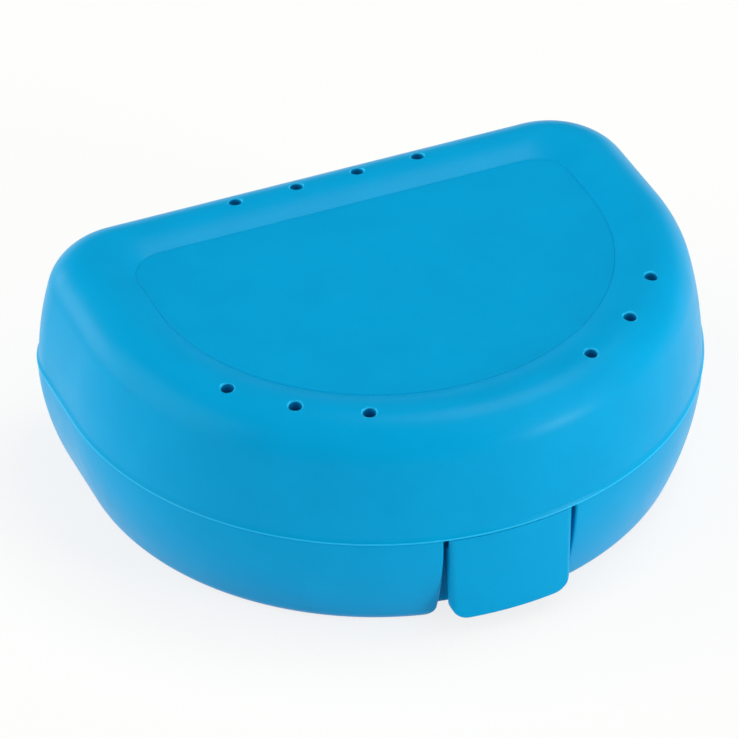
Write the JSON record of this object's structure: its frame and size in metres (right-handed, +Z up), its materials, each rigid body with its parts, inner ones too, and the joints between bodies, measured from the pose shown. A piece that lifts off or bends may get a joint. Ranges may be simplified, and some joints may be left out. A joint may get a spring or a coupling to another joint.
{
  "type": "retainer case",
  "caption": "Small D-shaped case for a dental retainer: a tray and a domed, vented lid on a back hinge, held shut by a thumb tongue that hooks under a ridge at the round front.",
  "frame": {"origin": "on the plane of the flat underside, below the middle of the D-shaped rim outline", "axes": "+X to the right seen from the latch, along the straight back; +Y from the latch to the hinge; +Z up"},
  "size_m": [0.08, 0.067, 0.0285],
  "materials": {
    "base_plastic": "satin moulded polypropylene with a fine grain",
    "lid_plastic": "satin moulded polypropylene with a fine grain",
    "tab_plastic": "satin moulded polypropylene with a fine grain"
  },
  "bodies": {
    "base": {"base": "base_plastic"},
    "lid": {"lid": "lid_plastic"},
    "latch_tab": {"latch_tab": "tab_plastic"}
  },
  "joints": [
    {"name": "lid_hinge", "type": "hinge", "parent": "base", "child": "lid", "pos_m": [0, 0.03375, 0.01385], "axis": [-1, 0, 0], "range_deg": [0, 170]},
    {"name": "latch_flex", "type": "hinge", "parent": "lid", "child": "latch_tab", "pos_m": [0, -0.03045, 0.0137], "axis": [-1, 0, 0], "range_deg": [0, 10], "stiffness_Nm_per_rad": 0.3}
  ]
}
